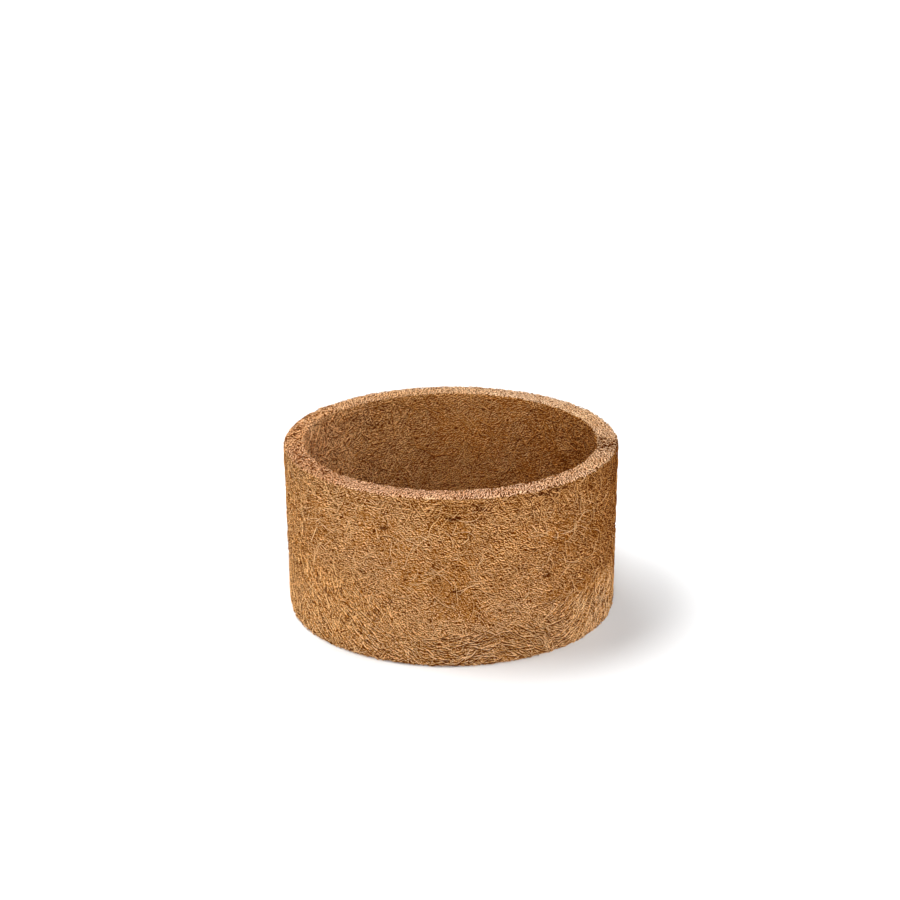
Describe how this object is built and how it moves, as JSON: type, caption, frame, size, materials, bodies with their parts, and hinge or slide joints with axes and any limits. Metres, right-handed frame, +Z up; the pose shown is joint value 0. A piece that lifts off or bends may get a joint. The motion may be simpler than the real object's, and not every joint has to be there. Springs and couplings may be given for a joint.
{
  "type": "coir plant pot",
  "caption": "Low round plant pot of pressed coir mat with a thick wall, a flat cut rim and a base let into its foot.",
  "frame": {"origin": "middle of the foot, on the surface that the pot stands on", "axes": "+Z up along the pot's own axis; the scarf of the wall lies near +X, 10 degrees towards -Y"},
  "size_m": [0.152, 0.152, 0.0785],
  "materials": {
    "wall_coir": "matte",
    "base_coir": "matte",
    "seam_latex": "satin",
    "joint_latex": "satin"
  },
  "bodies": {
    "root": {"side_wall": "wall_coir", "base_disc": "base_coir", "wall_seam_latex": "seam_latex", "base_joint_latex": "joint_latex"}
  },
  "joints": []
}
